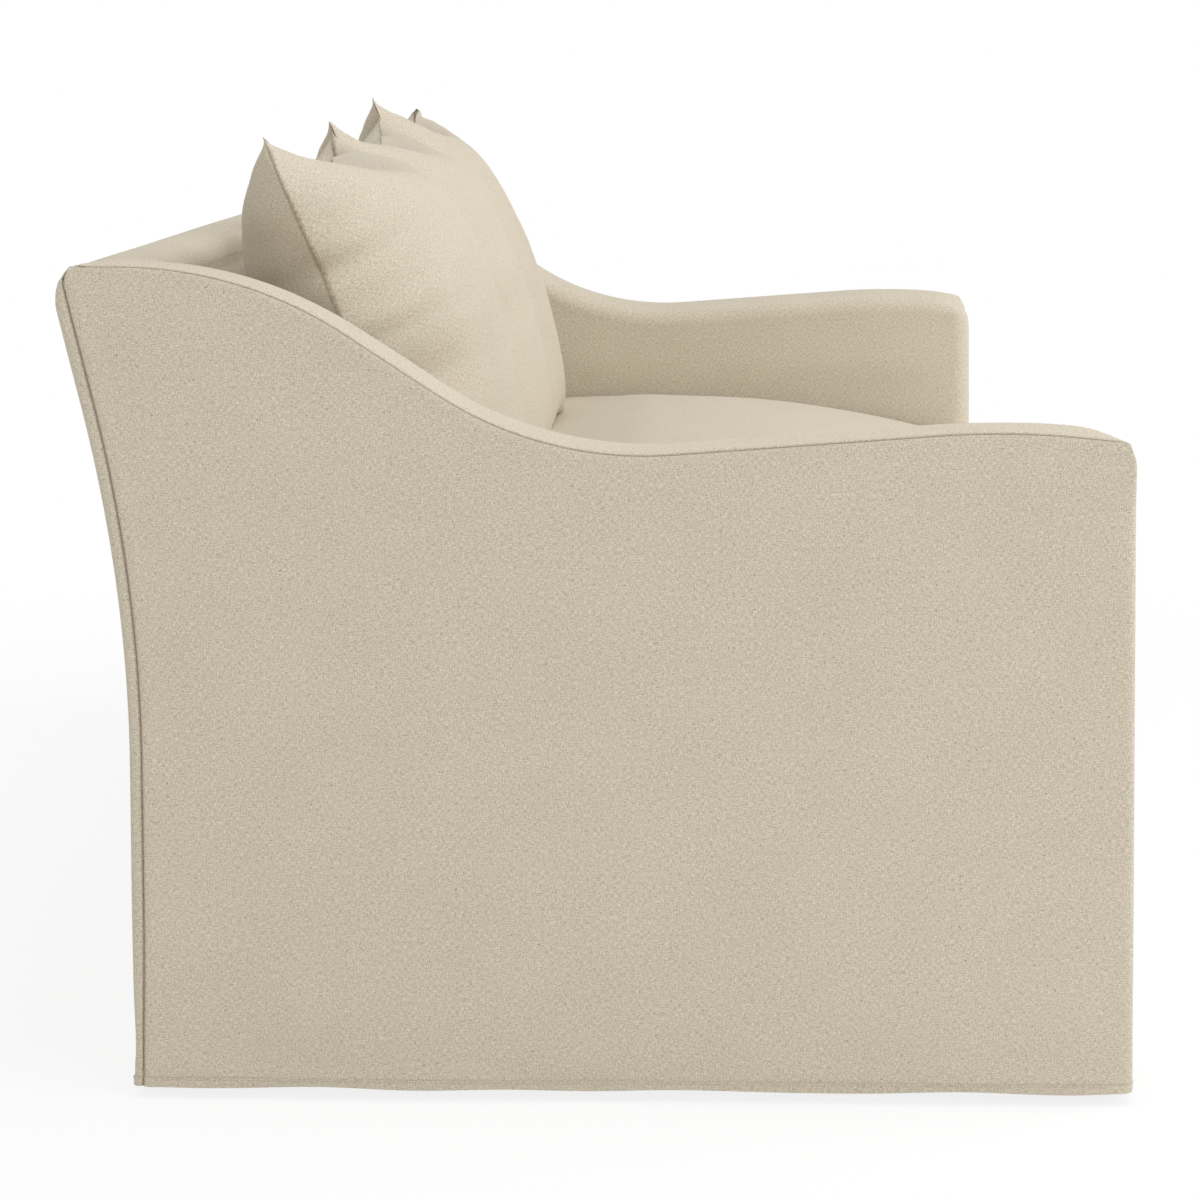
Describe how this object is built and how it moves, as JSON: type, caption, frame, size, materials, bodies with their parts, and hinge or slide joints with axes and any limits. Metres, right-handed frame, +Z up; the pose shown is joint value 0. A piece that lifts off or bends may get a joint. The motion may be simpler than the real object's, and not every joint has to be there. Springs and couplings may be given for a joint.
{
  "type": "slipcovered sofa",
  "caption": "Sofa in a loose linen slipcover to the floor, with sloping arms, a bench seat cushion and knife-edge back cushions.",
  "frame": {"origin": "on the floor, under the middle of the sofa's bounding box", "axes": "+X along the sofa from its left end to its right, +Y from front to back, +Z up; the left end is the one on the left of someone facing the sofa's front"},
  "size_m": [2.134, 1.038, 0.9363],
  "materials": {
    "linen": "oatmeal plain-weave linen, matte, with fine flecks",
    "lining": "plain cotton lining cloth",
    "wadding": "soft polyester wadding",
    "foam": "open-cell cushion foam",
    "webbing": "woven jute strap",
    "plywood": "unfinished plywood and hardboard",
    "frame_wood": "planed hardwood, unfinished",
    "stained_wood": "dark stain, satin",
    "spring_steel": "plain drawn spring wire",
    "glide_plastic": "moulded nylon, matte"
  },
  "bodies": {
    "frame": {"arm_batting_left": "wadding", "arm_batting_right": "wadding", "arm_cover_left": "linen", "arm_cover_right": "linen", "arm_lining_board_left": "plywood", "arm_lining_board_right": "plywood", "arm_pad_left": "wadding", "arm_pad_right": "wadding", "arm_panel_left": "plywood", "arm_panel_right": "plywood", "arm_rail_left": "frame_wood", "arm_rail_right": "frame_wood", "back_pad": "wadding", "back_tack_rail": "frame_wood", "back_top_rail": "frame_wood", "back_uprights": "frame_wood", "back_webbing": "webbing", "corner_blocks": "frame_wood", "deck_cover": "lining", "deck_pad": "wadding", "dust_cover": "lining", "foot_front_centre": "stained_wood", "foot_front_left": "stained_wood", "foot_front_right": "stained_wood", "foot_glides": "glide_plastic", "foot_rear_centre": "stained_wood", "foot_rear_left": "stained_wood", "foot_rear_right": "stained_wood", "front_apron": "linen", "front_post_left": "frame_wood", "front_post_right": "frame_wood", "front_rail_pad": "wadding", "front_seat_rail": "frame_wood", "inside_back_cover": "linen", "outside_arm_cover_left": "linen", "outside_arm_cover_right": "linen", "outside_back_batting": "wadding", "outside_back_board": "plywood", "outside_back_cover": "linen", "rear_post_left": "frame_wood", "rear_post_right": "frame_wood", "rear_seat_rail": "frame_wood", "seat_springs": "spring_steel", "seat_stretchers": "frame_wood", "side_rail_left": "frame_wood", "side_rail_right": "frame_wood", "spring_clips": "spring_steel", "spring_rail": "frame_wood", "spring_tie_wires": "spring_steel"},
    "seat": {"seat_cushion": "linen", "seat_cushion_core": "foam"},
    "cushion_left": {"back_cushion_core_left": "foam", "back_cushion_left": "linen"},
    "cushion_centre": {"back_cushion_centre": "linen", "back_cushion_core_centre": "foam"},
    "cushion_right": {"back_cushion_core_right": "foam", "back_cushion_right": "linen"}
  },
  "joints": [
    {"name": "seat_slide", "type": "slide", "parent": "frame", "child": "seat", "axis": [0, -1, 0], "range_m": [0, 0.9]},
    {"name": "lift_left", "type": "slide", "parent": "frame", "child": "cushion_left", "axis": [0, 0, 1], "range_m": [0, 0.5]},
    {"name": "lift_centre", "type": "slide", "parent": "frame", "child": "cushion_centre", "axis": [0, 0, 1], "range_m": [0, 0.5]},
    {"name": "lift_right", "type": "slide", "parent": "frame", "child": "cushion_right", "axis": [0, 0, 1], "range_m": [0, 0.5]}
  ]
}
